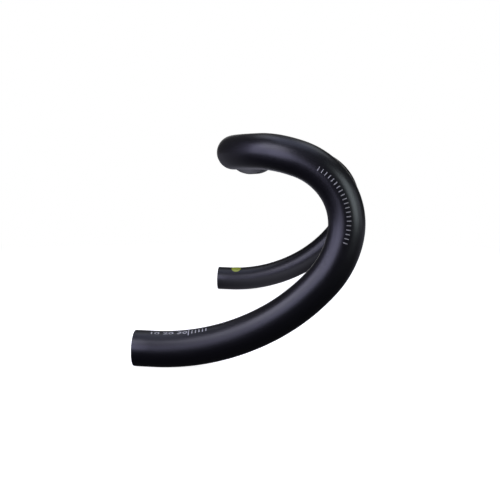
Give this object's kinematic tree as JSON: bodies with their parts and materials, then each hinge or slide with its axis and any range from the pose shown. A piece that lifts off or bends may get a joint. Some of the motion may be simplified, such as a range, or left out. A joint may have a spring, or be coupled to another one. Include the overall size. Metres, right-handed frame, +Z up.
{
  "type": "drop handlebar",
  "caption": "Bonded carbon drop handlebar for a road bicycle: round stem clamp zone, tapered tops, compact curved drops with open ends.",
  "frame": {"origin": "middle of the stem clamp zone, on the bar's axis", "axes": "+X along the bar to the rider's right, +Y forwards as the bicycle travels, +Z up"},
  "size_m": [0.444, 0.1505, 0.1566],
  "materials": {
    "carbon": "satin",
    "sleeve": "matte",
    "grip_coat": "rough",
    "print_grey": "matte",
    "print_pale": "matte",
    "sticker": "gloss"
  },
  "bodies": {
    "root": {"centre_section": "carbon", "right_drop_section": "carbon", "left_drop_section": "carbon", "right_joint_sleeve": "sleeve", "left_joint_sleeve": "sleeve", "clamp_grip_band": "grip_coat", "clamp_marks": "print_grey", "right_lever_scale": "print_grey", "left_lever_scale": "print_grey", "right_cut_scale": "print_pale", "left_drop_dot": "sticker"}
  },
  "joints": []
}
